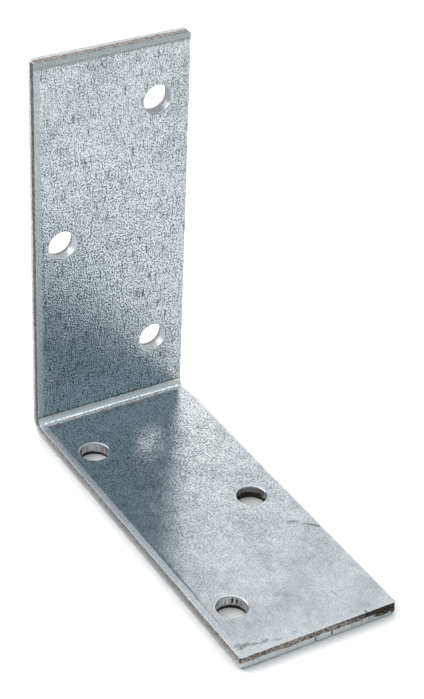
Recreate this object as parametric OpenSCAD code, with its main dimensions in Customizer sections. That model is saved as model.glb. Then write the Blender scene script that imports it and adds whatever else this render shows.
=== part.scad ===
// Corner brace bracket: one galvanised strip, pierced with staggered screw holes and folded square.
// Millimetres, +Z up. The base leg lies on z = 0 and the upright stands at the +Y end.

/* [Strip] */
// Width of the strip
strip_width = 25.4; // [15:0.1:60]
// Sheet thickness
thickness = 2.2; // [1:0.1:5]
// Length of the upright, from the outer corner to its free end
upright_length = 63.5; // [35:0.5:160]
// Length of the base leg, from the outer corner to its free end
base_length = 63.5; // [35:0.5:160]

/* [Fold] */
// Radius inside the fold
inside_radius = 0.9; // [0.3:0.1:5]

/* [Holes] */
// Diameter of each screw hole
hole_diameter = 4.5; // [3:0.1:10]
// Outer corner to the centre of the hole nearest the fold
hole_from_corner = 12.5; // [7:0.1:40]
// Free end to the centre of the hole nearest it
hole_from_end = 9.8; // [5:0.1:30]
// Left edge of the strip to the left row of holes
hole_from_left = 4.5; // [3:0.1:15]
// Right edge of the strip to the right row of holes
hole_from_right = 5.3; // [3:0.1:15]
// Radius of the rolled rim where the punch went in
rim_radius = 0.2; // [0.05:0.05:0.6]
// Depth of the torn zone where the punch came out
tear_depth = 0.7; // [0.2:0.1:1.5]
// How far the torn zone opens, on the radius
tear_flare = 0.12; // [0:0.01:0.3]

/* [Edges] */
// Radius that the blanking die rolled on the outer face's edges
die_roll = 0.45; // [0.1:0.05:1]
// Width of the pressed margin around the inner face
margin_width = 1.0; // [0.3:0.1:3]
// Drop of the margin at the very edge
margin_drop = 0.08; // [0.02:0.01:0.3]
// Corner radius of the flat blank
blank_corner = 0.4; // [0.1:0.1:3]

/* [Output] */
// Which node to build

/* [Hidden] */
$fn = 96;
past = 1; // cutters run this far past what they cut
outside_radius = inside_radius + thickness;
hole_radius = hole_diameter / 2;
half_width = strip_width / 2;
left_row = -half_width + hole_from_left;
right_row = half_width - hole_from_right;
back_y = base_length / 2;

// Fills the square corner outside a rounded edge, in 2-D, with the corner itself at the origin.
module corner_waste(r) {
    difference() {
        translate([-past, -past]) square(r + past);
        translate([r, r]) circle(r);
    }
}

// The strip's cross-section: X across the strip, Y from the outer face (0) to the inner face.
module strip_section() {
    difference() {
        polygon([
            [-half_width, 0], [half_width, 0],
            [half_width, thickness - margin_drop], [half_width - margin_width, thickness],
            [-half_width + margin_width, thickness], [-half_width, thickness - margin_drop]
        ]);
        translate([-half_width, 0]) corner_waste(die_roll);
        translate([half_width, 0]) mirror([1, 0]) corner_waste(die_roll);
    }
}

// One punched hole on Z: torn at the outer face, straight through the middle, rolled at the inner face.
module punched_hole() {
    rotate_extrude() {
        difference() {
            polygon([
                [0, -past], [hole_radius + tear_flare, -past], [hole_radius + tear_flare, 0],
                [hole_radius, tear_depth], [hole_radius, thickness - rim_radius],
                [hole_radius + rim_radius, thickness - rim_radius],
                [hole_radius + rim_radius, thickness + past], [0, thickness + past]
            ]);
            translate([hole_radius + rim_radius, thickness - rim_radius]) circle(rim_radius);
        }
    }
}

// What the blanking die took off a free end: the rolled edge, the margin's slope and both blank corners.
module end_waste(leg_length) {
    translate([-half_width - past, leg_length, 0]) rotate([0, 90, 0])
        linear_extrude(strip_width + 2 * past) rotate([0, 0, 180]) corner_waste(die_roll);
    translate([-half_width - past, leg_length, thickness]) rotate([0, 90, 0])
        linear_extrude(strip_width + 2 * past)
            polygon([
                [margin_drop, 0], [0, -margin_width], [-past, -margin_width],
                [-past, past], [margin_drop, past]
            ]);
    for (side = [0, 1])
        mirror([side, 0, 0]) translate([-half_width, leg_length, -past]) mirror([0, 1, 0])
            linear_extrude(thickness + 2 * past) corner_waste(blank_corner);
}

// A leg lying flat: X across, Y away from the outer corner, Z from the outer face to the inner face.
// near_row and far_row say which row the first and last holes, and the middle hole, lie in.
module leg(leg_length, near_row, far_row) {
    last_hole = leg_length - hole_from_end;
    middle_hole = (hole_from_corner + last_hole) / 2;
    difference() {
        translate([0, leg_length, 0]) rotate([90, 0, 0])
            linear_extrude(leg_length - outside_radius) strip_section();
        end_waste(leg_length);
        translate([near_row, hole_from_corner, 0]) punched_hole();
        translate([far_row, middle_hole, 0]) punched_hole();
        translate([near_row, last_hole, 0]) punched_hole();
    }
}

// The quarter turn between the legs, about the fold's own axis.
module fold() {
    rotate([0, 90, 0]) rotate_extrude(angle = 90)
        translate([outside_radius, 0]) rotate([0, 0, 90]) strip_section();
}

module bracket() {
    color([0.74, 0.77, 0.78]) {
        union() {
            translate([0, back_y, 0]) rotate([90, 0, 0]) leg(upright_length, right_row, left_row);
            translate([0, back_y, 0]) mirror([0, 1, 0]) leg(base_length, left_row, right_row);
            translate([0, back_y - outside_radius, outside_radius]) fold();
        }
    }
}

bracket();
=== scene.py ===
"""Corner brace bracket: a galvanised strip, pierced, blanked and folded square, on a pale studio floor.

The strip is worked out flat, in millimetres: across its width, along its length and up through its
thickness from the outer face to the inner one. Then it is folded and put into metres.
"""

import logging
import math
from dataclasses import dataclass, field
from enum import Enum
from typing import Any, Sequence

import bpy
import numpy as np
from mathutils import Matrix, Vector


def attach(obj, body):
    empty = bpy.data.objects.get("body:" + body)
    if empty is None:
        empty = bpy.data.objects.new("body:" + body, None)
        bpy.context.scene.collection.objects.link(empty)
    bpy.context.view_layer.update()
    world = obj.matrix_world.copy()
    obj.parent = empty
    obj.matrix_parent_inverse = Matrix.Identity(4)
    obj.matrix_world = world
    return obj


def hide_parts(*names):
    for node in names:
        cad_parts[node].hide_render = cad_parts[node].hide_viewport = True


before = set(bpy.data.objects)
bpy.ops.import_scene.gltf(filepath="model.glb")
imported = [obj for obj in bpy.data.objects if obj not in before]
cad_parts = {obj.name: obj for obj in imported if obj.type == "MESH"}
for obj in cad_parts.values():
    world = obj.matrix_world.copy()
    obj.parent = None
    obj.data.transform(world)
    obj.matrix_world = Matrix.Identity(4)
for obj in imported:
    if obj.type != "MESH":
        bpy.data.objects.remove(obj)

LOG = logging.getLogger("corner_brace")
MM = 0.001
QUARTER_TURN = math.pi / 2
FULL_TURN = 360.0
UV_NAME = "strip"
NOISE_LATTICE = 128
SLACK = 1e-6

Array = np.ndarray
Colour = tuple[float, float, float, float]
Range = tuple[float, float]


class Leg(Enum):
    """The two legs of the bracket."""

    BASE = "base"
    UPRIGHT = "upright"


class Cut(Enum):
    """Vertex attributes that say how a patch of the surface was made."""

    TORN = "torn"
    BURNISHED = "burnished"
    RIM = "rim"
    SOOT = "soot"


# ---------------------------------------------------------------- numpy helpers


def joined_lines(start: float, *runs: tuple[float, int]) -> Array:
    """Grid lines along one direction, as runs of even spacing joined end to end.

    Args:
        start: The first line.
        runs: For each run, where it stops and how many cells it has.

    Returns:
        The positions of all lines, in order.
    """
    parts = [np.array([start])]
    for stop, cells in runs:
        parts.append(np.linspace(parts[-1][-1], stop, cells + 1)[1:])
    return np.concatenate(parts)


def ease(share: Array) -> Array:
    """The cubic ease from 0 to 1: three times the share's square, less twice its cube."""
    return share * share * (3 - 2 * share)


def half_up(value: Any) -> Any:
    """The number halfway between a value and 1."""
    return 0.5 + 0.5 * value


def scaled(span: Range, size: float) -> Range:
    """A range that is given as shares of a size."""
    return span[0] * size, span[1] * size


def shifted(span: Range, start: float) -> Range:
    """A range that is given from a start."""
    return start + span[0], start + span[1]


def value_noise(across: Array, along: Array, cell: float, seed: int) -> Array:
    """Smooth noise on a plane: random heights on a square lattice, blended by a cubic ease between them.

    Args:
        across: First coordinate of each point.
        along: Second coordinate of each point.
        cell: Lattice spacing.
        seed: Seed of the lattice.

    Returns:
        One value from -1 to 1 for each point.
    """
    side = NOISE_LATTICE
    heights = np.random.default_rng(seed).uniform(-1.0, 1.0, (side, side))
    a, b = np.asarray(across) / cell + side, np.asarray(along) / cell + side
    i, j = np.floor(a).astype(int), np.floor(b).astype(int)
    u, v = ease(a - i), ease(b - j)
    i0, i1, j0, j1 = i % side, (i + 1) % side, j % side, (j + 1) % side
    low = heights[i0, j0] * (1 - u) + heights[i1, j0] * u
    high = heights[i0, j1] * (1 - u) + heights[i1, j1] * u
    return low * (1 - v) + high * v


def loop_noise(turn: Array, count: int, seed: int) -> Array:
    """Smooth noise round a closed loop: random heights at even steps, blended by a cubic ease.

    Args:
        turn: Place of each point round the loop, from 0 to 1.
        count: Number of steps round the loop.
        seed: Seed of the heights.

    Returns:
        One value from -1 to 1 for each point.
    """
    heights = np.random.default_rng(seed).uniform(-1.0, 1.0, count)
    a = np.asarray(turn) * count
    i = np.floor(a).astype(int)
    u = ease(a - i)
    return heights[i % count] * (1 - u) + heights[(i + 1) % count] * u


def bell(distance: Array, width: float) -> Array:
    """A bell curve of the distance, with the given width."""
    return np.exp(-((np.asarray(distance) / width) ** 2))


@dataclass(frozen=True)
class Wander:
    """Noise on the flat strip.

    Attributes:
        cell: Its lattice spacing.
        swing: How far it goes to either side.
        seed: Seed of its lattice.
    """

    cell: float
    swing: float
    seed: int

    def at(self, across: Array, along: Array) -> Array:
        """The noise at flat points."""
        return self.swing * value_noise(across, along, self.cell, self.seed)


@dataclass(frozen=True)
class Ripple:
    """Noise round a loop.

    Attributes:
        steps: Number of steps round the loop.
        swing: How far it goes to either side.
        seed: Seed of its heights.
    """

    steps: int
    swing: float
    seed: int

    def at(self, turn: Array, shift: int = 0) -> Array:
        """The noise at places round the loop, from its seed moved by a shift."""
        return self.swing * loop_noise(turn, self.steps, self.seed + shift)


def rippled(ripples: Sequence[Ripple], turn: Array, shift: int = 0) -> Array:
    """The sum of ripples at places round the loop, from their seeds moved by a shift."""
    return sum(ripple.at(turn, shift) for ripple in ripples)


# ---------------------------------------------------------------- what the press left


@dataclass(frozen=True)
class Hole:
    """One punched screw hole.

    Attributes:
        leg: Which leg it is in.
        across: Its centre across the strip.
        from_fold: Its centre, away from where the fold starts.
        tear: Height of the torn zone above the outer face.
        soot: How dark the torn zone is, from 0 to 1.
    """

    leg: Leg
    across: float
    from_fold: float
    tear: float
    soot: float


@dataclass(frozen=True)
class Dent:
    """A shallow hollow in the inner face.

    Attributes:
        leg: Which leg it is in.
        across: Its centre across the strip.
        from_fold: Its centre, away from where the fold starts.
        length: Half its length, along its own direction.
        width: Half its width.
        turn: Its direction, in degrees from across the strip.
        depth: Its depth.
    """

    leg: Leg
    across: float
    from_fold: float
    length: float
    width: float
    turn: float
    depth: float


@dataclass(frozen=True)
class Nick:
    """A nick in the base's free end.

    Attributes:
        across: Its centre across the strip.
        width: Half its width.
        depth: Its depth.
    """

    across: float
    width: float
    depth: float


@dataclass
class Profile:
    """Rows of a profile that is carried round a loop, each with a value for every point of the loop.

    Attributes:
        count: Number of points round the loop.
        reaches: How far each row is set in, or its radius.
        ups: Height of each row.
        cuts: The cut attributes of each row, by name.
    """

    count: int
    reaches: list[Array] = field(default_factory=list)
    ups: list[Array] = field(default_factory=list)
    cuts: dict[Cut, list[Array]] = field(default_factory=lambda: {cut: [] for cut in Cut})

    def row(self, reach: Any, up: Any, **cuts: Any) -> None:
        """Adds a row, from numbers or from arrays of one value for each point.

        Args:
            reach: How far the row is set in, or its radius.
            up: Its height.
            cuts: Its cut attributes, by name. The rest are 0.
        """
        self.reaches.append(np.broadcast_to(reach, self.count))
        self.ups.append(np.broadcast_to(up, self.count))
        for cut in Cut:
            self.cuts[cut].append(np.broadcast_to(cuts.get(cut.value, 0.0), self.count))

    def attributes(self) -> dict[str, Array]:
        """The cut attributes as arrays of one row for each row of the profile."""
        return {cut.value: np.array(rows) for cut, rows in self.cuts.items()}


@dataclass
class MeshParts:
    """Vertices, faces, surface coordinates and cut attributes, gathered piece by piece."""

    points: list[Array] = field(default_factory=list)
    cuts: dict[Cut, list[Array]] = field(default_factory=lambda: {cut: [] for cut in Cut})
    quads: list[Array] = field(default_factory=list)
    quad_uvs: list[Array] = field(default_factory=list)
    count: int = 0

    def add_points(self, points: Array, **cuts: Array) -> Array:
        """Adds flat points (across, along, up) and their cut attributes by name.

        Args:
            points: An array that ends in an axis of three.
            cuts: Values from 0 to 1 for each point, by the attribute's name. The rest are 0.

        Returns:
            The new points' numbers, shaped as the points are.
        """
        shape = points.shape[:-1]
        size = int(np.prod(shape))
        self.points.append(points.reshape(-1, 3))
        for cut in Cut:
            value = np.broadcast_to(cuts.get(cut.value, 0.0), shape)
            self.cuts[cut].append(np.asarray(value, float).reshape(-1))
        numbers = np.arange(self.count, self.count + size).reshape(shape)
        self.count += size
        return numbers

    def add_quads(self, corners: Sequence[Array], uvs: Sequence[Array]) -> None:
        """Adds faces of four corners.

        Args:
            corners: Four arrays of point numbers, one for each corner.
            uvs: The surface coordinates of each corner, shaped as the numbers with an axis of two.
        """
        self.quads.append(np.stack([np.ravel(c) for c in corners], 1))
        self.quad_uvs.append(np.stack([np.reshape(uv, (-1, 2)) for uv in uvs], 1))

    def add_band(self, ids: Array, place: Array, ahead: Array, heights: Array, outwards: bool) -> None:
        """Adds the faces between the rows of a profile that is carried round a loop.

        Args:
            ids: Point numbers, one row for each row of the profile.
            place: Distance round the loop of each point.
            ahead: Distance round the loop of each point's follower.
            heights: Height of each point, as ids.
            outwards: Whether the rows run the way that makes the faces point out of the loop.
        """
        after, after_heights = np.roll(ids, -1, 1), np.roll(heights, -1, 1)
        start = np.stack([np.broadcast_to(place, heights.shape), heights], -1)
        stop = np.stack([np.broadcast_to(ahead, heights.shape), after_heights], -1)
        corners = [ids[:-1], ids[1:], after[1:], after[:-1]]
        uvs = [start[:-1], start[1:], stop[1:], stop[:-1]]
        order = (0, 1, 2, 3) if outwards else (0, 3, 2, 1)
        self.add_quads([corners[k] for k in order], [uvs[k] for k in order])


# ---------------------------------------------------------------- the strip


@dataclass
class Strip:
    """The folded strip: its sizes, its fold, and its surfaces worked out flat.

    Sizes are in millimetres, and are those of the solid model with what the press left. Rows are shares
    of the way down the zone that they belong to, and cells are counts of a grid. Soot runs from 0 to 1.
    """

    # the blank, its fold and its holes
    width: float = 25.4
    thickness: float = 2.2
    leg_length: float = 63.5
    inside_radius: float = 0.9
    blank_corner: float = 0.4
    hole_radius: float = 2.25
    left_row: float = -8.2
    right_row: float = 7.4
    hole_places: tuple[float, float, float] = (9.4, 30.0, 50.6)
    rim_radius: float = 0.2
    rim_dish: float = 0.03
    rim_dish_reach: float = 0.45
    tear_flare: float = 0.12

    # the holes' walls
    base_tears: tuple[float, float, float] = (0.6, 1.05, 0.6)
    base_soot: tuple[float, float, float] = (0.8, 1.0, 0.9)
    upright_tear: float = 0.62
    upright_soot: float = 1.0
    rim_rows: tuple[float, ...] = (0.25, 0.5, 0.75, 1.0)
    rim_burnish: float = 0.7
    wall_rows: tuple[float, ...] = (0.25, 0.6, 0.97)
    wall_ripple: Ripple = Ripple(40, 0.006, 80)
    wall_ragged: float = 0.22
    wall_ragged_ripples: tuple[Ripple, ...] = (Ripple(13, 0.65, 60), Ripple(44, 0.35, 70))
    wall_tear_rows: tuple[float, ...] = (0.04, 0.25, 0.5, 0.75, 0.94)
    wall_tear_inset: float = 0.03
    wall_flare_share: float = 0.6
    wall_tear_ripple: Ripple = Ripple(46, 0.03, 90)
    wall_tear_seeds: int = 7

    # the cut edge
    edge_tear: float = 0.5
    edge_tear_ripples: tuple[Ripple, ...] = (Ripple(110, 0.1, 21), Ripple(420, 0.05, 22))
    tear_rows: tuple[float, ...] = (0.04, 0.2, 0.4, 0.6, 0.8, 0.93)
    tear_inset: float = 0.05
    tear_relief: float = 0.045
    relief_ripples: tuple[Ripple, ...] = (Ripple(520, 1.0, 30), Ripple(230, 0.6, 40))
    burnish_rows: tuple[float, ...] = (0.0, 0.4, 0.85)
    burnish_inset: float = 0.004
    burnish_ripple: Ripple = Ripple(300, 0.004, 50)
    burnish_gap: float = 0.06
    burnish_fade: float = 2.2
    roll_rows: tuple[float, ...] = (0.1, 0.3, 0.5, 0.7, 0.88)
    roll_width: float = 0.6
    roll_depth: float = 0.42
    left_roll_depth: float = 0.7
    left_roll_reach: float = 0.5
    corner_roll: float = 0.5
    corner_roll_reach: float = 1.2
    roll_share: float = 0.85
    end_nicks: tuple[Nick, ...] = (Nick(7.8, 0.3, 0.12),)
    low_nicks: tuple[Nick, ...] = (Nick(-0.5, 0.14, 0.3), Nick(2.1, 0.13, 0.25))
    base_side_soot: float = 0.3
    upright_side_soot: float = 0.6
    near_end_soot: float = 0.3
    near_end_black: Range = (4.0, 11.0)
    top_end_soot: float = 0.22

    # the inner face
    margin_width: float = 1.0
    margin_drop: float = 0.08
    groove_depth: float = 0.03
    groove_width: float = 0.1
    groove_wander: Wander = Wander(0.9, 0.05, 11)
    waviness: float = 0.014
    waves: Wander = Wander(8.0, 0.5, 12)
    tool_mark_place: float = 0.15
    tool_mark_depth: float = 0.1
    tool_mark_width: float = 0.12
    tool_mark_wander: Wander = Wander(0.7, 0.08, 13)
    tool_mark_least: float = 0.6
    tool_mark_breaks: Wander = Wander(1.1, 0.4, 14)
    dents: tuple[Dent, ...] = (
        Dent(Leg.UPRIGHT, -4.0, 58.5, 0.6, 0.2, 90.0, 0.06),
        Dent(Leg.UPRIGHT, -10.6, 8.9, 0.6, 0.14, 103.0, 0.04),
        Dent(Leg.BASE, -11.0, 58.5, 0.6, 0.25, 18.0, 0.035),
        Dent(Leg.BASE, -9.3, 58.8, 0.7, 0.25, -8.0, 0.03),
        Dent(Leg.BASE, -7.6, 59.1, 0.7, 0.25, 8.0, 0.03),
        Dent(Leg.BASE, -6.1, 59.5, 0.5, 0.25, -10.0, 0.025),
        Dent(Leg.BASE, 11.2, 39.7, 1.6, 0.22, -40.0, 0.03),
        Dent(Leg.BASE, 7.8, 60.2, 0.3, 0.25, 90.0, 0.1),
    )

    # the grid
    margin_rows: tuple[float, ...] = (1.08, 1.0, 0.92)
    border_steps: tuple[float, ...] = (0.3, 0.62, 0.95)
    inner_inset: float = 0.1
    side_gap: float = 0.35
    end_gap: float = 0.3
    patch_half: float = 3.2
    patch_cells: int = 20
    patch_rings: int = 8
    ring_crowding: float = 1.6
    between_cells: int = 24
    gap_cells: int = 40
    end_cells: int = 15
    fold_cells: int = 16
    fold_clear: float = 0.6
    before_fold_cells: int = 3
    after_fold_cells: int = 9

    # the surface coordinates
    wall_step: float = 20.0
    wall_level: float = 200.0
    outer_step: float = 60.0

    def __post_init__(self) -> None:
        """Works out what follows from the sizes."""
        self.outside_radius = self.inside_radius + self.thickness
        self.flat_leg = self.leg_length - self.outside_radius
        self.fold_length = QUARTER_TURN * (self.inside_radius + self.thickness / 2)
        self.base_end = -self.flat_leg
        self.upright_end = self.fold_length + self.flat_leg
        self.back = self.leg_length / 2
        left, right = self.left_row, self.right_row
        base = zip((left, right, left), self.hole_places, self.base_tears, self.base_soot)
        upright = zip((right, left, right), self.hole_places)
        self.holes = [Hole(Leg.BASE, *row) for row in base]
        self.holes += [Hole(Leg.UPRIGHT, *row, self.upright_tear, self.upright_soot) for row in upright]

    def along(self, leg: Leg, from_fold: float) -> float:
        """Place along the flat strip of a point in a leg, from how far it is from where the fold starts."""
        return -from_fold if leg is Leg.BASE else self.fold_length + from_fold

    def centre(self, hole: Hole) -> Array:
        """A hole's centre on the flat strip."""
        return np.array([hole.across, self.along(hole.leg, hole.from_fold)])

    def fold(self, flat: Array) -> Array:
        """Folds flat points square.

        The base lies flat. Over the fold's length, a point turns about the fold's axis by an angle in
        step with its place, at the outside radius less its height. Past it, the strip goes straight up.

        Args:
            flat: Points as across, along and up, one to a row.

        Returns:
            The points in space, in metres.
        """
        across, along, up = flat.T
        angle = np.clip(along / self.fold_length, 0.0, 1.0) * QUARTER_TURN
        radius = self.outside_radius - up
        before = np.minimum(along, 0.0)
        after = np.maximum(along - self.fold_length, 0.0)
        y = self.back - self.outside_radius + radius * np.sin(angle) + before
        z = self.outside_radius - radius * np.cos(angle) + after
        return np.stack([across, y, z], 1) * MM

    def edge_distance(self, across: Array, along: Array) -> Array:
        """Distance of flat points from the nearest edge of the blank."""
        side = self.width / 2 - np.abs(across)
        return np.minimum(side, np.minimum(along - self.base_end, self.upright_end - along))

    def corner_distance(self, across: Array, along: Array) -> Array:
        """Distance of flat points from the nearest corner of the blank, measured along both sides."""
        side = self.width / 2 - np.abs(across)
        return side + np.minimum(along - self.base_end, self.upright_end - along)

    def round_corners(self, points: Array) -> Array:
        """Rounds the blank's four corners.

        In the square at each corner, every square ring about its inner corner becomes a circle of the
        same reach: a point is scaled by its larger offset over the length of its offset.

        Args:
            points: Flat points, as an array that ends in an axis of three.

        Returns:
            The moved points.
        """
        across, along = points[..., 0], points[..., 1]
        half = self.width / 2 - self.blank_corner
        low, high = self.base_end + self.blank_corner, self.upright_end - self.blank_corner
        a = np.sign(across) * np.maximum(np.abs(across) - half, 0.0)
        b = np.minimum(along - low, 0.0) + np.maximum(along - high, 0.0)
        reach, length = np.maximum(np.abs(a), np.abs(b)), np.hypot(a, b)
        scale = np.where(length > 0, reach / np.maximum(length, SLACK), 1.0)
        out = points.copy()
        out[..., 0] = across - a * (1 - scale)
        out[..., 1] = along - b * (1 - scale)
        return out

    def inner_height(self, across: Array, along: Array) -> Array:
        """Height of the inner face: the sheet's thickness, with what the press left on it.

        That is the margin's slope and the groove along its inner limit, a slight waviness, the mark of
        the folding tool, each dent as a bell-shaped hollow, and the dish that the punch drew round each
        hole, which fades with the distance from its wall.

        Args:
            across: First coordinate of each point.
            along: Second coordinate of each point.

        Returns:
            The height of each point.
        """
        edge = self.edge_distance(across, along)
        height = np.full(np.shape(across), self.thickness)
        height -= self.margin_drop * np.clip(1 - edge / self.margin_width, 0.0, 1.0)
        wander = self.groove_wander.at(across, along)
        height -= self.groove_depth * bell(edge - self.margin_width - wander, self.groove_width)
        height -= self.waviness * (self.waves.swing + self.waves.at(across, along))
        level = np.zeros_like(across)
        wander = self.tool_mark_wander.at(across, level)
        mark = along - self.fold_length - self.tool_mark_place - wander
        strength = self.tool_mark_least + self.tool_mark_breaks.at(across, level)
        height -= self.tool_mark_depth * strength * bell(mark, self.tool_mark_width)
        for dent in self.dents:
            turn = math.radians(dent.turn)
            da, db = across - dent.across, along - self.along(dent.leg, dent.from_fold)
            run = da * math.cos(turn) + db * math.sin(turn)
            side = -da * math.sin(turn) + db * math.cos(turn)
            height -= dent.depth * bell(run, dent.length) * bell(side, dent.width)
        for hole in self.holes:
            centre = self.centre(hole)
            radius = np.hypot(across - centre[0], along - centre[1])
            past = np.maximum(radius - self.hole_radius - self.rim_radius, 0.0)
            height -= self.rim_dish * np.exp(-past / self.rim_dish_reach)
        return height

    def lines(self, inset: float) -> tuple[Array, Array]:
        """Grid lines of a face across and along the strip.

        Args:
            inset: How far the face's own border lies inside the blank's edge.

        Returns:
            The lines across and the lines along. Every face has as many of each.
        """
        half, cells, reach = self.width / 2, self.patch_cells, self.patch_half
        into = [row * self.margin_width for row in self.margin_rows]
        into += [into[-1] + (inset - into[-1]) * step for step in (*self.border_steps, 1.0)]
        left, right = self.left_row, self.right_row
        across = joined_lines(
            -half + inset, *[(-half + m, 1) for m in reversed(into[:-1])], (left - reach, 1),
            (left + reach, cells), (right - reach, self.between_cells), (right + reach, cells),
            (half - into[0] - self.side_gap, 1), *[(half - m, 1) for m in into])
        near, middle, far = self.hole_places
        out = joined_lines(
            self.fold_clear, (near - reach, self.fold_cells), (near + reach, cells),
            (middle - reach, self.gap_cells), (middle + reach, cells), (far - reach, self.gap_cells),
            (far + reach, cells), (self.flat_leg - into[0] - self.end_gap, self.end_cells),
            *[(self.flat_leg - m, 1) for m in into])
        fold = joined_lines(
            -self.fold_clear, (0.0, self.before_fold_cells), (self.fold_length, self.fold_cells),
            (self.fold_length + self.fold_clear, self.after_fold_cells))
        return across, np.concatenate([-out[:0:-1], fold, self.fold_length + out[1:]])

    def build(self) -> MeshParts:
        """Works out the whole closed surface, flat.

        Returns:
            The inner face, the outer face, the cut edge between them and the six hole walls, sharing
            the points where they meet.
        """
        parts = MeshParts()
        inner = self.face(parts, self.inner_inset, inner=True)
        outer = self.face(parts, self.roll_width, inner=False)
        self.cut_edge(parts, inner[0], outer[0])
        for number, hole in enumerate(self.holes):
            self.hole_wall(parts, hole, number, inner[1][number], outer[1][number])
        return parts

    def face(self, parts: MeshParts, inset: float, inner: bool) -> tuple[Array, list[Array]]:
        """A face as a grid, with each hole's square patch of it replaced by rings.

        Args:
            parts: What the face is added to.
            inset: How far its border lies inside the blank's edge.
            inner: Whether it is the inner face.

        Returns:
            The border's point numbers in order, and the innermost ring's for each hole.
        """
        across, along = self.lines(inset)
        grid = np.stack(np.meshgrid(across, along, indexing="ij"), -1)
        spans, keep = [], np.ones((len(across) - 1, len(along) - 1), bool)
        used = np.ones(grid.shape[:2], bool)
        for hole in self.holes:
            centre = self.centre(hole)
            i = int(np.abs(across - (centre[0] - self.patch_half)).argmin())
            j = int(np.abs(along - (centre[1] - self.patch_half)).argmin())
            n = self.patch_cells
            keep[i:i + n, j:j + n] = False
            used[i + 1:i + n, j + 1:j + n] = False
            spans.append((i, j))
        numbers = np.full(grid.shape[:2], -1)
        numbers[used] = self.place(parts, grid[used], inner)
        i, j = np.nonzero(keep)
        corners = [(i, j), (i + 1, j), (i + 1, j + 1), (i, j + 1)]
        self.add_faces(parts, [numbers[c] for c in corners], [grid[c] for c in corners], inner)
        rims = [self.patch(parts, hole, numbers, grid, span, inner) for hole, span in zip(self.holes, spans)]
        border = np.concatenate([numbers[:-1, 0], numbers[-1, :-1], numbers[:0:-1, -1], numbers[0, :0:-1]])
        return border, rims

    def place(self, parts: MeshParts, flat: Array, inner: bool, **cuts: Array) -> Array:
        """Adds a face's points at the height that the face has there, with the blank's corners rounded.

        Args:
            parts: What the points are added to.
            flat: The points' flat coordinates, as an array that ends in an axis of two.
            inner: Whether it is the inner face.
            cuts: Their cut attributes, by name.

        Returns:
            The new points' numbers.
        """
        across, along = flat[..., 0], flat[..., 1]
        up = self.inner_height(across, along) if inner else np.zeros(across.shape)
        return parts.add_points(self.round_corners(np.stack([across, along, up], -1)), **cuts)

    def add_faces(self, parts: MeshParts, corners: list[Array], uvs: list[Array], inner: bool) -> None:
        """Adds a face's quads, turned over and with moved surface coordinates for the outer face.

        Args:
            parts: What the quads are added to.
            corners: Four arrays of point numbers.
            uvs: The flat coordinates of each corner.
            inner: Whether it is the inner face.
        """
        order, step = ((0, 1, 2, 3), 0.0) if inner else ((0, 3, 2, 1), self.outer_step)
        parts.add_quads([corners[k] for k in order], [uvs[k] + (step, 0.0) for k in order])

    def patch(self, parts: MeshParts, hole: Hole, numbers: Array, grid: Array,
              span: tuple[int, int], inner: bool) -> Array:
        """The rings round one hole, blended from its square patch to its rim and closer together there.

        Args:
            parts: What the rings are added to.
            hole: The hole.
            numbers: The face grid's point numbers.
            grid: The face grid's flat points.
            span: The grid cell where the patch starts.
            inner: Whether it is the inner face.

        Returns:
            The innermost ring's point numbers, anticlockwise seen from the inner side.
        """
        i, j, n = *span, self.patch_cells
        ahead, back = np.arange(n), np.arange(n, 0, -1)
        rows = i + np.concatenate([ahead, np.full(n, n), back, np.zeros(n, int)])
        cols = j + np.concatenate([np.zeros(n, int), ahead, np.full(n, n), back])
        square, centre = grid[rows, cols], self.centre(hole)
        offset = square - centre
        rim = self.hole_radius + (self.rim_radius if inner else self.tear_flare)
        circle = centre + rim * offset / np.linalg.norm(offset, axis=1, keepdims=True)
        share = (1 - (1 - np.linspace(0, 1, self.patch_rings + 1)) ** self.ring_crowding)[1:, None, None]
        rings = square * (1 - share) + circle * share
        last = np.arange(self.patch_rings)[:, None] == self.patch_rings - 1
        made = self.place(parts, rings, inner, rim=1.0 * last if inner else 0.0 * last)
        ids = np.vstack([numbers[rows, cols][None], made])
        flat = np.concatenate([square[None], rings])
        turned_ids, turned_flat = np.roll(ids, -1, 1), np.roll(flat, -1, 1)
        self.add_faces(parts, [ids[:-1], turned_ids[:-1], turned_ids[1:], ids[1:]],
                       [flat[:-1], turned_flat[:-1], turned_flat[1:], flat[1:]], inner)
        return ids[-1]

    def cut_edge(self, parts: MeshParts, inner: Array, outer: Array) -> None:
        """The blanked edge, as a profile carried round the border.

        From the inner face down, the profile is a torn zone, rough and set in, with a ragged lower
        limit, then a burnished zone that is straight and smooth, then the die's roll, a quarter of an
        ellipse. The roll is deeper along the left side and at the blank's corners. A row that is set in
        moves each point by its inset, fading to nothing at the margin, as the faces' grid lines do.

        Args:
            parts: What the edge is added to.
            inner: The inner face's border.
            outer: The outer face's border.
        """
        lines = self.lines(0.0)
        grid = np.stack(np.meshgrid(*lines, indexing="ij"), -1)
        border = np.concatenate([grid[:-1, 0], grid[-1, :-1], grid[:0:-1, -1], grid[0, :0:-1]])
        across, along = border.T
        girth = np.concatenate([[0.0], np.cumsum(np.linalg.norm(np.roll(border, -1, 0) - border, axis=1))])
        turn = girth[:-1] / girth[-1]
        limit = self.thickness * (1 - self.edge_tear) + rippled(self.edge_tear_ripples, turn)
        top = self.thickness - self.margin_drop
        profile = Profile(len(border))
        nicks, soot = self.edge_nicks(border, self.end_nicks), self.soot(border)
        low_nicks = nicks + self.edge_nicks(border, self.low_nicks)
        for number, share in enumerate(self.tear_rows):
            relief = self.tear_relief * half_up(rippled(self.relief_ripples, turn, number))
            reach = self.tear_inset * half_up(share) + relief
            profile.row(reach + nicks * (1 - share), top + (limit - top) * share, torn=1.0, soot=soot)
        left = bell(np.maximum(across + self.width / 2, 0.0), self.left_roll_reach)
        corner = bell(self.corner_distance(across, along), self.corner_roll_reach)
        depth = self.roll_depth + (self.left_roll_depth - self.roll_depth) * left
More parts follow.
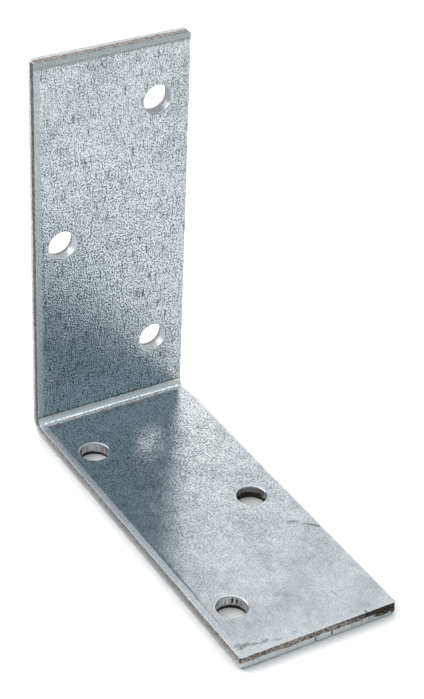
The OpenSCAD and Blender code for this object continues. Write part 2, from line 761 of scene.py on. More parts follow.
        depth = np.minimum(depth * (1 + self.corner_roll * corner), limit * self.roll_share)
        for share in self.burnish_rows:
            reach = self.burnish_inset + self.burnish_ripple.at(turn)
            up = (limit - self.burnish_gap) * (1 - share) + depth * share
            profile.row(reach + low_nicks, up, burnished=1.0, soot=soot)
        for share in self.roll_rows:
            angle = share * QUARTER_TURN
            reach = self.roll_width * (1 - math.cos(angle)) + low_nicks * (1 - share)
            burnish = max(0.0, 1.0 - self.burnish_fade * share)
            profile.row(reach, depth * (1 - math.sin(angle)), burnished=burnish)
        inset, up = np.maximum(np.array(profile.reaches), 0.0), np.array(profile.ups)
        free = self.margin_rows[-1] * self.margin_width
        side = np.maximum(1 - (self.width / 2 - np.abs(across)) / free, 0.0)
        low = np.maximum(1 - (along - self.base_end) / free, 0.0)
        high = np.maximum(1 - (self.upright_end - along) / free, 0.0)
        rings = np.stack([across - np.sign(across) * inset * side, along + inset * (low - high), up], -1)
        made = parts.add_points(self.round_corners(rings), **profile.attributes())
        heights = np.vstack([np.full((1, len(border)), top), up, np.zeros((1, len(border)))])
        ids = np.vstack([inner[None], made, outer[None]])
        parts.add_band(ids, girth[:-1], girth[1:], heights, outwards=True)

    def edge_nicks(self, border: Array, nicks: Sequence[Nick]) -> Array:
        """Extra depth where the base's free end is nicked.

        Args:
            border: Flat points round the blank, one to a row.
            nicks: The nicks.

        Returns:
            The depth at each point: a bell curve for each nick on that end, and 0 elsewhere.
        """
        depth = sum(nick.depth * bell(border[:, 0] - nick.across, nick.width) for nick in nicks)
        return np.where(border[:, 1] <= self.base_end + SLACK, depth, 0.0)

    def soot(self, border: Array) -> Array:
        """How dark the torn zone is round the blank.

        It is pale at the top end, browner along the sides and the near end, and black where the near
        end meets the right side.

        Args:
            border: Flat points round the blank, one to a row.

        Returns:
            The soot at each point, from 0 to 1.
        """
        across, along = border.T
        side = np.where(along < self.fold_length / 2, self.base_side_soot, self.upright_side_soot)
        start, stop = self.near_end_black
        black = np.clip((across - start) / (stop - start), 0.0, 1.0)
        near = self.near_end_soot + (1 - self.near_end_soot) * black
        side = np.where(along >= self.upright_end - SLACK, self.top_end_soot, side)
        return np.where(along <= self.base_end + SLACK, near, side)

    def hole_wall(self, parts: MeshParts, hole: Hole, number: int, inner: Array, outer: Array) -> None:
        """A hole's wall, as a profile carried round its axis.

        From the inner face down, the profile is a quarter of a circle where the punch rolled the rim, a
        straight burnished wall with a ragged lower limit, and a torn zone that flares to the outer face.

        Args:
            parts: What the wall is added to.
            hole: The hole.
            number: The hole's number, which seeds its own noise.
            inner: The rim's point numbers on the inner face.
            outer: The rim's point numbers on the outer face.
        """
        centre = self.centre(hole)
        all_points = np.concatenate(parts.points)
        offset = all_points[inner, :2] - centre
        way = offset / np.linalg.norm(offset, axis=1, keepdims=True)
        top = all_points[inner, 2]
        turn = (np.arctan2(way[:, 1], way[:, 0]) / (2 * math.pi)) % 1.0
        limit = hole.tear * (1 + self.wall_ragged * rippled(self.wall_ragged_ripples, turn, number))
        profile = Profile(len(turn))
        for share in self.rim_rows:
            angle = share * QUARTER_TURN
            burnish = self.rim_burnish if share >= 1.0 else 0.0
            reach = self.hole_radius + self.rim_radius * (1 - math.sin(angle))
            up = top - self.rim_radius * (1 - math.cos(angle))
            profile.row(reach, up, burnished=burnish, rim=1.0 - burnish)
        for share in self.wall_rows:
            reach = self.hole_radius + self.wall_ripple.at(turn, number)
            up = (top - self.rim_radius) * (1 - share) + limit * share
            profile.row(reach, up, burnished=1.0, soot=hole.soot)
        for index, share in enumerate(self.wall_tear_rows):
            relief = self.wall_tear_ripple.at(turn, self.wall_tear_seeds * number + index)
            flare = self.tear_flare * share * self.wall_flare_share
            reach = self.hole_radius + self.wall_tear_inset + flare + relief
            profile.row(reach, limit * (1 - share), torn=1.0, soot=hole.soot)
        radius, up = np.array(profile.reaches), np.array(profile.ups)
        rings = np.concatenate([centre + radius[..., None] * way, up[..., None]], -1)
        made = parts.add_points(rings, **profile.attributes())
        arc = 2 * math.pi * self.hole_radius
        place = turn * arc + self.wall_step * (number + 1)
        ahead = place + ((np.roll(turn, -1) - turn) % 1.0) * arc
        heights = self.wall_level + np.vstack([top[None], up, np.zeros((1, len(turn)))])
        parts.add_band(np.vstack([inner[None], made, outer[None]]), place, ahead, heights, outwards=False)


# ---------------------------------------------------------------- finishes


@dataclass(frozen=True)
class Noise:
    """Soft noise on the strip's flat coordinates.

    Attributes:
        scale: Its scale across and along the strip.
        place: Where it starts.
        detail: How many finer layers it has.
        rough: How strong each layer is against the one before.
        span: The values between which it is eased from 0 to 1.
    """

    scale: tuple[float, float]
    place: tuple[float, float] = (0.0, 0.0)
    detail: float = 1.0
    rough: float = 0.5
    span: Range = (0.0, 1.0)


class Graph:
    """A thin cover over a node tree, so that a finish reads as a few lines."""

    def __init__(self, tree: bpy.types.NodeTree) -> None:
        """Starts from an empty tree."""
        self.tree = tree
        tree.nodes.clear()

    def add(self, kind: str, inputs: dict[Any, Any] | None = None, **settings: Any) -> bpy.types.Node:
        """Adds a node.

        Args:
            kind: The node's type, without the "ShaderNode" at its start.
            inputs: For each input, a value or the socket that feeds it.
            settings: The node's own settings.

        Returns:
            The node.
        """
        node = self.tree.nodes.new("ShaderNode" + kind)
        for name, value in settings.items():
            setattr(node, name, value)
        for key, value in (inputs or {}).items():
            if isinstance(value, bpy.types.NodeSocket):
                self.tree.links.new(value, node.inputs[key])
            else:
                node.inputs[key].default_value = value
        return node

    def math(self, operation: str, a: Any, b: Any = 0.0, clamp: bool = False) -> bpy.types.NodeSocket:
        """One arithmetic step."""
        return self.add("Math", {0: a, 1: b}, operation=operation, use_clamp=clamp).outputs[0]

    def times(self, *values: Any) -> bpy.types.NodeSocket:
        """The product of two or more numbers.

        Args:
            values: Numbers or sockets.

        Returns:
            The product.
        """
        out = values[0]
        for value in values[1:]:
            out = self.math("MULTIPLY", out, value)
        return out

    def total(self, *values: Any) -> bpy.types.NodeSocket:
        """The sum of two or more numbers.

        Args:
            values: Numbers or sockets.

        Returns:
            The sum.
        """
        out = values[0]
        for value in values[1:]:
            out = self.math("ADD", out, value)
        return out

    def swing(self, value: Any, amount: Any) -> bpy.types.NodeSocket:
        """A number from 0 to 1 turned into one that swings about 0 by half the amount."""
        return self.math("MULTIPLY", self.math("SUBTRACT", value, 0.5), amount)

    def rest(self, value: Any) -> bpy.types.NodeSocket:
        """What is left of 1."""
        return self.math("SUBTRACT", 1.0, value)

    def mix(self, factor: Any, a: Any, b: Any) -> bpy.types.NodeSocket:
        """Blends two colours."""
        return self.add("Mix", {0: factor, 6: a, 7: b}, data_type="RGBA").outputs[2]

    def blend(self, factor: Any, a: Any, b: Any) -> bpy.types.NodeSocket:
        """Blends two numbers."""
        return self.add("Mix", {0: factor, 2: a, 3: b}, data_type="FLOAT").outputs[0]

    def ramp(self, value: Any, low: float, high: float) -> bpy.types.NodeSocket:
        """Eases a number from 0 at low to 1 at high."""
        inputs = {0: value, 1: low, 2: high, 3: 0.0, 4: 1.0}
        return self.add("MapRange", inputs, interpolation_type="SMOOTHSTEP").outputs[0]

    def noise(self, vector: Any, scale: float, detail: float, rough: float) -> bpy.types.NodeSocket:
        """Soft noise from 0 to 1."""
        inputs = {"Vector": vector, "Scale": scale, "Detail": detail, "Roughness": rough}
        return self.add("TexNoise", inputs).outputs[0]

    def sample(self, flat: Any, noise: Noise) -> bpy.types.NodeSocket:
        """A noise at the flat coordinates, from 0 to 1."""
        inputs = {"Vector": flat, "Location": (*noise.place, 0.0), "Scale": (*noise.scale, 1.0)}
        return self.noise(self.add("Mapping", inputs).outputs[0], 1.0, noise.detail, noise.rough)

    def eased(self, flat: Any, noise: Noise) -> bpy.types.NodeSocket:
        """A noise at the flat coordinates, eased from 0 to 1 over its span."""
        return self.ramp(self.sample(flat, noise), *noise.span)

    def attribute(self, cut: Cut) -> bpy.types.NodeSocket:
        """Reads one of the mesh's cut attributes."""
        return self.add("Attribute", attribute_name=cut.value).outputs["Fac"]

    def oval(self, vector: Any, place: tuple[float, float], half: tuple[float, float],
             turn: float = 0.0, core: float = 0.5, outline: float = 1.1) -> bpy.types.NodeSocket:
        """An oval patch on the flat coordinates: 1 inside, faded to 0 at its outline.

        Args:
            vector: The flat coordinates.
            place: Its centre.
            half: Half its length and half its width.
            turn: Its direction, in degrees.
            core: Share of its radius that is solid.
            outline: Share of its radius where it has faded out.

        Returns:
            The patch's strength.
        """
        inputs = {"Vector": vector, "Location": (*place, 0.0), "Scale": (*half, 1.0),
                  "Rotation": (0.0, 0.0, math.radians(turn))}
        local = self.add("Mapping", inputs, vector_type="TEXTURE").outputs[0]
        size = self.add("VectorMath", {0: local}, operation="LENGTH").outputs["Value"]
        return self.rest(self.ramp(size, core, outline))


@dataclass(frozen=True)
class Mark:
    """A stain or scratch on the inner face, in the strip's flat coordinates.

    Attributes:
        leg: Which leg it is on.
        across: Its centre across the strip.
        from_fold: Its centre, away from where the fold starts.
        length: Half its length.
        width: Half its width.
        turn: Its direction, in degrees from across the strip.
        strength: How dark it is, or how pale when negative.
    """

    leg: Leg
    across: float
    from_fold: float
    length: float
    width: float
    turn: float
    strength: float


@dataclass(frozen=True)
class WallStainAndShade:
    """A stain on a hole's wall; some of them are painted shade over a whole wall.

    Attributes:
        hole: Number of the hole.
        turn: Its place round the hole, in degrees from across the strip towards the upright.
        height: Its centre above the outer face.
        wide: Half its width round the hole.
        tall: Half its height.
        strength: How strongly it covers.
        colour: Its colour.
        core: Share of its radius that is solid.
    """

    hole: int
    turn: float
    height: float
    wide: float
    tall: float
    strength: float
    colour: Colour
    core: float = 0.75

    def place(self, strip: Strip) -> tuple[float, float]:
        """Its centre, in surface coordinates."""
        arc = 2 * math.pi * strip.hole_radius
        return self.turn / FULL_TURN * arc + strip.wall_step * (self.hole + 1), self.height + strip.wall_level


@dataclass(frozen=True)
class EdgeStainAndShade:
    """A stain on the blanked edge; one of them is partly painted shade along the base's left side.

    Attributes:
        girth: Its centre round the blank, from the near end's left corner.
        height: Its centre above the outer face.
        wide: Half its width round the blank.
        tall: Half its height.
        strength: How strongly it covers.
        colour: Its colour.
        core: Share of its radius that is solid.
    """

    girth: float
    height: float
    wide: float
    tall: float
    strength: float
    colour: Colour
    core: float = 0.7

    def place(self, strip: Strip) -> tuple[float, float]:
        """Its centre, in surface coordinates."""
        return self.girth, self.height


@dataclass(frozen=True)
class Margin:
    """The look of the pressed margin along one edge.

    Attributes:
        width: Its width.
        strength: How strongly it covers.
        soft: Half the width of its faded inner limit.
    """

    width: float
    strength: float
    soft: float


# Painted shade: greys laid over the upright holes' whole walls to darken them.
PAINTED_WALL_SHADE: Colour = (0.38, 0.40, 0.41, 1.0)
PAINTED_DIM_SHADE: Colour = (0.27, 0.28, 0.29, 1.0)
BLACK_STAIN: Colour = (0.03, 0.026, 0.024, 1.0)
BROWN_STAIN: Colour = (0.16, 0.10, 0.06, 1.0)
TAN_CHIP: Colour = (0.46, 0.32, 0.18, 1.0)
GOLD_FLECK: Colour = (0.55, 0.33, 0.12, 1.0)
# Dark grey over the base's left edge: partly its torn zone's own colour, partly painted shade.
GREY_SIDE_AND_SHADE: Colour = (0.22, 0.225, 0.235, 1.0)


@dataclass(frozen=True)
class GalvanisedFinish:
    """Rolled zinc on the faces, bare sheared steel on the cuts.

    A span gives the values of a noise, of the soot or of a place between which something sets in. What
    holds for the base alone has a name that starts with base, and eases to 1 over the fold.
    """

    # colours
    pale: Colour = (0.86, 0.905, 0.935, 1.0)
    deep: Colour = (0.11, 0.14, 0.155, 1.0)
    margin: Colour = (0.68, 0.725, 0.745, 1.0)
    margin_deep: Colour = (0.50, 0.54, 0.555, 1.0)
    # the grey of the painted shadow line along the top end's groove, and of the darker band there
    shadow_line: Colour = (0.27, 0.28, 0.26, 1.0)
    pressed: Colour = (1.0, 0.965, 0.94, 1.0)
    burnished: Colour = (0.70, 0.73, 0.75, 1.0)
    burnished_deep: Colour = (0.30, 0.30, 0.30, 1.0)
    torn_pale: Colour = (0.56, 0.55, 0.54, 1.0)
    torn_light: Colour = (0.44, 0.40, 0.38, 1.0)
    torn_dark: Colour = (0.085, 0.07, 0.062, 1.0)
    tan: Colour = (0.70, 0.62, 0.53, 1.0)
    soot: Colour = (0.022, 0.018, 0.016, 1.0)
    rust: Colour = (0.34, 0.17, 0.07, 1.0)
    rim: Colour = (0.60, 0.63, 0.65, 1.0)
    chalk: Colour = (0.86, 0.88, 0.89, 1.0)
    stain: Colour = (0.06, 0.065, 0.07, 1.0)

    # roughness and metal
    face_rough: float = 0.17
    pit_rough: float = 0.12
    base_pit_rough: float = 0.075
    margin_rough: float = 0.58
    pressed_rough: float = 0.5
    cut_rough: float = 0.4
    torn_rough: float = 0.6
    torn_metal: float = 0.7

    # the zinc's tone
    tone: float = 0.55
    upright_tone: float = -0.005
    # painted highlight: the base made lighter near the bend
    bend_highlight: float = 0.17
    bend_highlight_zone: Range = (-16.0, -3.0)
    grain: Noise = Noise((3.8, 1.9))
    grain_span: Range = (0.34, 0.6)
    grain_share: float = 0.25
    fleck: Noise = Noise((5.6, 3.8), (31.0, 7.0))
    base_fleck: Noise = Noise((4.2, 2.6), (3.0, 17.0))
    fleck_span: Range = (0.38, 0.56)
    fleck_share: float = 0.75
    grain_swing: float = 1.6
    base_grain: float = 0.68
    streak: Noise = Noise((7.5, 0.4))
    streak_span: Range = (0.56, 0.67)
    streak_depth: float = 1.15
    base_streaks: float = 0.5
    crowd: Noise = Noise((0.5, 0.22), (5.0, 9.0), span=(0.4, 0.62))
    crowd_floor: float = 0.5
    mottle: Noise = Noise((0.8, 0.55), detail=2.0)
    mottle_swing: float = 0.85
    mottle_floor: float = 0.3
    cloud: Noise = Noise((0.14, 0.14), detail=2.0)
    cloud_swing: float = 0.45

    # how strong the grain is, by shares of the upright's length
    far_strength: float = 0.16
    full_from: float = 0.2
    top_strength: float = 0.56
    top_span: Range = (0.5, 0.85)
    margin_calm: float = 0.7
    pressed_calm: float = 0.3

    # the margin, the top end's darker band with a painted shadow line at its groove, the bend's pressed band
    # and its crease, partly painted shade
    outer_span: Range = (1.0, 1.1)
    margins: tuple[Margin, ...] = (
        Margin(1.0, 0.62, 0.14), Margin(0.8, 0.15, 0.3), Margin(0.9, 0.3, 0.25), Margin(1.05, 0.9, 0.06))
    margin_span: Range = (0.4, 0.6)
    teeth: Noise = Noise((2.2, 0.7), detail=2.0, rough=0.6)
    teeth_swing: float = 0.9
    shadow_line_past: float = 0.1
    shadow_line_span: Range = (0.05, 0.32)
    shadow_line_cover: float = 0.55
    top_band_span: Range = (0.0, 0.15)
    top_band_cover: float = 0.22
    pressed_start: Range = (0.35, 0.6)
    pressed_stop: Range = (0.0, 0.25)
    pressed_span: Range = (0.36, 0.52)
    pressed_cover: Range = (0.62, 0.97)
    crease: Noise = Noise((1.4, 0.0), detail=2.0, rough=0.6)
    crease_swing: float = 0.5
    crease_past: float = 0.1
    crease_span: Range = (0.06, 0.24)
    crease_breaks: Noise = Noise((2.4, 2.4), detail=2.0, rough=0.6, span=(0.34, 0.52))
    crease_cover: float = 0.75

    # the cuts: a solid noise is given as its scale, detail and roughness
    brush: Noise = Noise((7.0, 0.5), detail=2.0, rough=0.6, span=(0.68, 0.32))
    brush_soot: Range = (-0.2, 0.9)
    ragged: tuple[float, float, float] = (2600.0, 3.0, 0.65)
    ragged_span: Range = (0.4, 0.58)
    clean_span: Range = (0.42, 0.56)
    clean_soot: Range = (0.0, 0.3)
    rust_specks: tuple[float, float, float] = (3400.0, 2.0, 0.6)
    rust_span: Range = (0.63, 0.7)
    soot_specks: tuple[float, float, float] = (1900.0, 2.0, 0.6)
    speck_span: Range = (0.56, 0.62)
    speck_soot: Range = (0.1, 0.5)
    speck_cover: float = 0.85
    sooty_span: Range = (0.25, 0.85)
    peak_span: Range = (0.9, 0.6)
    limit_peak: float = 4.0
    limit_soot: float = 0.7
    limit_cover: float = 0.7

    # relief
    bump_height: float = 0.00006
    bump_strength: float = 0.8
    base_relief: float = 0.6
    bent_start: Range = (-0.2, 0.4)
    bent_stop: Range = (0.0, 0.5)
    bent_calm: float = 0.85
    grain_relief: float = 0.5
    streak_relief: float = -0.3
    torn_relief: float = 0.4

    # marks, stains and painted shade
    mark_breaks: Noise = Noise((3.2, 3.2), detail=3.0, rough=0.7, span=(0.36, 0.56))
    mark_floor: float = 0.3
    stain_breaks: Noise = Noise((4.0, 1.5), detail=2.0, rough=0.6, span=(0.1, 0.4))
    marks: tuple[Mark, ...] = (
        Mark(Leg.UPRIGHT, -4.0, 58.5, 0.6, 0.14, 90.0, 0.8),
        Mark(Leg.UPRIGHT, -1.4, 58.6, 0.2, 0.16, 0.0, 0.7),
        Mark(Leg.UPRIGHT, 8.2, 58.3, 0.5, 0.14, 80.0, 0.6),
        Mark(Leg.UPRIGHT, 7.0, 30.0, 0.4, 0.35, 0.0, -0.4),
        Mark(Leg.UPRIGHT, 2.9, 20.8, 1.2, 0.9, 40.0, -0.35),
        Mark(Leg.UPRIGHT, 8.2, 15.8, 0.8, 0.6, 30.0, 0.4),
        Mark(Leg.UPRIGHT, 2.9, 15.5, 0.8, 0.4, 35.0, 0.45),
        Mark(Leg.UPRIGHT, 8.1, 33.0, 1.0, 0.6, 60.0, 0.35),
        Mark(Leg.UPRIGHT, 1.8, 44.9, 0.6, 0.3, 90.0, 0.4),
        Mark(Leg.UPRIGHT, -7.3, 52.6, 1.0, 0.5, 80.0, 0.25),
        Mark(Leg.UPRIGHT, 4.4, 8.2, 0.4, 0.12, 110.0, 0.5),
        Mark(Leg.UPRIGHT, -10.6, 8.9, 0.7, 0.2, 103.0, 1.0),
        Mark(Leg.UPRIGHT, -5.8, 3.4, 0.6, 0.07, 60.0, -0.6),
        Mark(Leg.BASE, -0.1, 17.0, 0.5, 0.16, -50.0, 0.5),
        Mark(Leg.BASE, 4.3, 32.3, 0.8, 0.3, -30.0, 0.35),
        Mark(Leg.BASE, 8.8, 38.2, 0.6, 0.5, 30.0, 0.4),
        Mark(Leg.BASE, 9.6, 38.3, 1.0, 0.42, -30.0, 0.5),
        Mark(Leg.BASE, 11.0, 39.4, 0.9, 0.4, 15.0, 0.45),
        Mark(Leg.BASE, 11.8, 40.4, 1.4, 0.34, -42.0, 0.75),
        Mark(Leg.BASE, -1.2, 51.2, 1.1, 0.5, 20.0, 0.28),
        Mark(Leg.BASE, -0.3, 51.9, 0.9, 0.4, -50.0, 0.25),
        Mark(Leg.BASE, 6.0, 54.8, 0.8, 0.2, -80.0, 0.4),
        Mark(Leg.BASE, 7.8, 60.0, 0.35, 0.25, 90.0, 0.7),
        Mark(Leg.BASE, -11.0, 58.4, 1.2, 0.4, 20.0, 0.7),
        Mark(Leg.BASE, -11.6, 58.0, 0.8, 0.6, -20.0, 0.5),
        Mark(Leg.BASE, -9.6, 58.6, 1.1, 0.36, -14.0, 0.55),
        Mark(Leg.BASE, -8.0, 58.9, 1.1, 0.36, 12.0, 0.55),
        Mark(Leg.BASE, -6.3, 59.3, 0.9, 0.36, -16.0, 0.45),
        Mark(Leg.BASE, -3.4, 59.2, 0.7, 0.3, 5.0, 0.3),
    )
    wall_stains_and_shade: tuple[WallStainAndShade, ...] = (
        # painted shade over the upright holes' whole walls
        WallStainAndShade(3, 180.0, 1.1, 9.5, 2.4, 0.5, PAINTED_WALL_SHADE),
        WallStainAndShade(4, 180.0, 1.1, 9.5, 2.4, 0.5, PAINTED_WALL_SHADE),
        WallStainAndShade(5, 180.0, 1.1, 9.5, 2.4, 1.0, PAINTED_DIM_SHADE),
        WallStainAndShade(0, 128.0, 1.3, 0.35, 0.5, 0.8, BLACK_STAIN),
        WallStainAndShade(0, 108.0, 1.7, 0.1, 0.3, 0.6, BROWN_STAIN),
        WallStainAndShade(0, 34.0, 1.1, 0.09, 0.9, 0.7, BROWN_STAIN),
        WallStainAndShade(0, 24.0, 1.3, 0.08, 0.9, 0.7, BROWN_STAIN),
        WallStainAndShade(0, 10.0, 1.0, 0.14, 1.0, 0.6, BROWN_STAIN),
        WallStainAndShade(1, 60.0, 1.3, 3.2, 0.9, 0.65, BLACK_STAIN),
        WallStainAndShade(1, 100.0, 1.0, 0.5, 0.3, 0.9, BLACK_STAIN),
        WallStainAndShade(1, 8.0, 0.8, 0.28, 0.2, 0.9, TAN_CHIP),
        WallStainAndShade(1, 20.0, 0.75, 0.3, 0.15, 0.8, BROWN_STAIN),
        WallStainAndShade(2, 57.0, 1.45, 0.16, 0.6, 1.0, BLACK_STAIN),
        WallStainAndShade(2, 40.0, 1.4, 0.14, 0.6, 0.95, BLACK_STAIN),
        WallStainAndShade(2, 22.0, 1.2, 0.08, 0.6, 0.6, BROWN_STAIN),
    )
    edge_stains_and_shade: tuple[EdgeStainAndShade, ...] = (
        EdgeStainAndShade(12.2, 0.5, 0.15, 0.75, 1.0, BLACK_STAIN),
        EdgeStainAndShade(14.8, 0.8, 0.14, 0.5, 1.0, BLACK_STAIN),
        EdgeStainAndShade(23.3, 1.0, 1.8, 0.4, 0.95, BLACK_STAIN),
        EdgeStainAndShade(25.2, 0.7, 0.7, 1.0, 0.95, BLACK_STAIN),
        EdgeStainAndShade(20.0, 2.04, 7.0, 0.12, 0.9, BLACK_STAIN),
        EdgeStainAndShade(24.4, 0.8, 0.3, 0.1, 0.9, GOLD_FLECK),
        EdgeStainAndShade(22.9, 0.95, 0.25, 0.08, 0.8, GOLD_FLECK),
        # partly painted shade: the base's left edge greyed
        EdgeStainAndShade(269.0, 0.6, 36.0, 1.4, 0.62, GREY_SIDE_AND_SHADE),
        EdgeStainAndShade(269.0, 2.06, 34.0, 0.13, 0.7, BLACK_STAIN),
    )

    def material(self, strip: Strip) -> bpy.types.Material:
        """Makes the node material.

        Args:
            strip: The strip, for where its margin and its marks lie.

        Returns:
            The material.
        """
        material = bpy.data.materials.new("galvanised_sheet")
        material.use_nodes = True
        SheetShader(Graph(material.node_tree), self, strip).build()
        return material


class SheetShader:
    """The nodes of the finish on the strip.

    Attributes:
        g: The graph that they are in.
        look: The finish.
        strip: The strip.
        flat: The flat coordinates. Across and along are its two parts.
        solid: The coordinates in space.
        torn: The first of the cut attributes. Burnished, rim and soot are the others.
        cut: 1 on the cuts. Plain is 1 elsewhere.
        inner: 1 on the inner face.
        upright: 0 on the base and 1 on the upright.
        top_edge: Distance from the top end.
        band: The margin.
        pressed: The band that was pressed along the bend.
        strength: How strong the grain is.
        grain: The coarse grain. Fleck is the finer one, fine is both together.
        streak: The rolling streaks.
        ragged: The torn zone's grain.
    """

    def __init__(self, g: Graph, look: GalvanisedFinish, strip: Strip) -> None:
        """Reads the mesh and works out where each zone lies.

        Args:
            g: The graph.
            look: The finish.
            strip: The strip.
        """
        self.g, self.look, self.strip = g, look, strip
        self.flat = g.add("UVMap", uv_map=UV_NAME).outputs[0]
        self.solid = g.add("TexCoord").outputs["Object"]
        self.torn, self.burnished, self.rim, self.soot = [g.attribute(cut) for cut in Cut]
        self.cut = g.math("ADD", self.torn, self.burnished, clamp=True)
        self.plain = g.rest(self.cut)
        self.across, self.along = g.add("SeparateXYZ", {0: self.flat}).outputs[:2]
        outer = g.ramp(self.across, *scaled(look.outer_span, strip.width))
        self.inner = g.times(self.plain, g.rest(outer))
        self.upright = g.ramp(self.along, 0.0, strip.fold_length)
        self.top_edge, margin = self.margins()
        self.band = g.times(margin, self.inner)
        start = g.ramp(self.along, *scaled(look.pressed_start, strip.fold_length))
        stop = g.ramp(self.along, *shifted(look.pressed_stop, strip.fold_length))
        self.pressed = g.times(start, self.inner, g.rest(stop))
        self.strength = self.grain_strength()
        self.grain = g.sample(self.flat, look.grain)
        fleck = g.sample(self.flat, look.fleck)
        self.fleck = g.blend(self.upright, g.sample(self.flat, look.base_fleck), fleck)
        coarse = g.times(g.ramp(self.grain, *look.grain_span), look.grain_share)
        self.fine = g.total(coarse, g.times(g.ramp(self.fleck, *look.fleck_span), look.fleck_share))
        self.streak = g.sample(self.flat, look.streak)
        self.ragged = g.noise(self.solid, *look.ragged)

    def build(self) -> None:
        """Joins the colour, the roughness, the metal and the relief in one shader."""
        g = self.g
        colour = self.crease_mark_and_shade(self.pressed_over(self.zinc()))
        colour = self.stained_and_shaded(self.cut_over(self.marked(colour)))
        metal = g.blend(self.torn, 1.0, self.look.torn_metal)
        shader = g.add("BsdfPrincipled", {"Base Color": colour, "Metallic": metal,
                                          "Roughness": self.roughness(), "Normal": self.relief()})
        g.add("OutputMaterial", {0: shader.outputs[0]})

    def margins(self) -> tuple[Any, Any]:
        """The pressed margin along the four edges, each with its own width, strength and softness.

        Returns:
            Distance from the top end, and the margin's strength.
        """
        g, strip = self.g, self.strip
        half = strip.width / 2
        distances = (g.math("ADD", self.across, half), g.math("SUBTRACT", half, self.across),
                     g.math("SUBTRACT", self.along, strip.base_end),
                     g.math("SUBTRACT", strip.upright_end, self.along))
        band: Any = 0.0
        for distance, margin in zip(distances, self.look.margins):
            inside = g.rest(g.ramp(distance, margin.width - margin.soft, margin.width + margin.soft))
            band = g.math("MAXIMUM", band, g.times(inside, margin.strength))
        return distances[-1], band

    def grain_strength(self) -> bpy.types.NodeSocket:
        """How strong the grain is.

        Returns:
            Full low on the upright, eased off towards both free ends, in the margin and where pressed.
        """
        g, look, end = self.g, self.look, self.strip.upright_end
        low = g.ramp(self.along, self.strip.base_end, look.full_from * end)
        high = g.ramp(self.along, *scaled(look.top_span, end))
        ends = g.times(g.blend(low, look.far_strength, 1.0), g.blend(high, 1.0, look.top_strength))
        return g.times(ends, g.rest(g.times(self.band, look.margin_calm)),
                       g.rest(g.times(self.pressed, look.pressed_calm)))

    def zinc(self) -> bpy.types.NodeSocket:
        """The zinc's colour.

        Returns:
            A blend of its two colours by the sum of its grain, its streaks, its mottle, its clouds and
            each leg's own tone, with a painted highlight that makes the base lighter near the bend.
        """
        g, look = self.g, self.look
        crowd = g.blend(g.eased(self.flat, look.crowd), look.crowd_floor, 1.0)
        dark = g.times(g.ramp(self.streak, *look.streak_span), crowd, -look.streak_depth,
                       g.blend(self.upright, look.base_streaks, 1.0))
        leg_grain = g.blend(self.upright, look.base_grain, 1.0)
        swing = g.times(g.swing(self.fine, look.grain_swing), leg_grain)
        moved = g.times(g.total(swing, dark), self.strength)
        mottle = g.swing(g.sample(self.flat, look.mottle), look.mottle_swing)
        patches = g.times(mottle, g.blend(self.strength, look.mottle_floor, 1.0))
        # painted highlight: the base lighter near the bend
        bend_highlight_zone = g.times(g.ramp(self.along, *look.bend_highlight_zone), g.rest(self.upright))
        leg_tone_and_highlight = g.total(g.times(self.upright, look.upright_tone), g.times(bend_highlight_zone, look.bend_highlight))
        clouds = g.swing(g.sample(self.flat, look.cloud), look.cloud_swing)
        tone = g.total(moved, patches, clouds, leg_tone_and_highlight, look.tone)
        return g.mix(g.math("ADD", tone, 0.0, clamp=True), look.deep, look.pale)

    def pressed_over(self, colour: Any) -> bpy.types.NodeSocket:
        """Lays the margin, the top end's darker band with a painted shadow line at its groove, and the bend's
        pressed band over a colour.

        Args:
            colour: The colour under them.

        Returns:
            The covered colour.
        """
        g, look, width = self.g, self.look, self.strip.margin_width
        margin = g.mix(g.ramp(self.fleck, *look.margin_span), look.margin_deep, look.margin)
        colour = g.mix(self.band, colour, margin)
        # the top end's margin, made a little darker
        past = g.ramp(self.top_edge, *shifted(look.top_band_span, width))
        top_band = g.times(g.rest(past), self.inner, look.top_band_cover)
        colour = g.mix(top_band, colour, look.shadow_line)
        # a painted shadow line along the groove at the top end
        teeth = g.swing(g.sample(self.flat, look.teeth), look.teeth_swing)
        line = g.math("ABSOLUTE", g.total(self.top_edge, teeth, -width - look.shadow_line_past))
        shadow_line = g.times(g.rest(g.ramp(line, *look.shadow_line_span)), self.inner, look.shadow_line_cover)
        colour = g.mix(shadow_line, colour, look.shadow_line)
        cover = g.blend(g.ramp(self.fleck, *look.pressed_span), *look.pressed_cover)
        return g.mix(g.times(self.pressed, cover), colour, look.pressed)

    def crease_mark_and_shade(self, colour: Any) -> bpy.types.NodeSocket:
        """Lays the folding tool's broken dark line over a colour, partly painted shade in the tool mark's
        groove.

        Args:
            colour: The colour under it.

        Returns:
            The covered colour.
        """
        g, look, strip = self.g, self.look, self.strip
        # partly painted shade: a dark line where the tool mark's groove lies
        wander = g.swing(g.sample(self.flat, look.crease), look.crease_swing)
        mark = g.total(self.along, wander, -strip.fold_length - strip.tool_mark_place - look.crease_past)
        crease = g.rest(g.ramp(g.math("ABSOLUTE", mark), *look.crease_span))
        broken = g.eased(self.flat, look.crease_breaks)
        return g.mix(g.times(crease, broken, self.inner, look.crease_cover), colour, look.stain)

    def marked(self, colour: Any) -> bpy.types.NodeSocket:
        """Lays each mark over a colour: an oval, broken up by fine noise.

        Args:
            colour: The colour under them.

        Returns:
            The covered colour.
        """
        g, look = self.g, self.look
        breakup = g.blend(g.eased(self.flat, look.mark_breaks), look.mark_floor, 1.0)
        for mark in look.marks:
            place = (mark.across, self.strip.along(mark.leg, mark.from_fold))
            shape = g.oval(self.flat, place, (mark.length, mark.width), mark.turn)
            target = look.stain if mark.strength > 0 else look.chalk
            colour = g.mix(g.times(shape, breakup, self.inner, abs(mark.strength)), colour, target)
        return colour

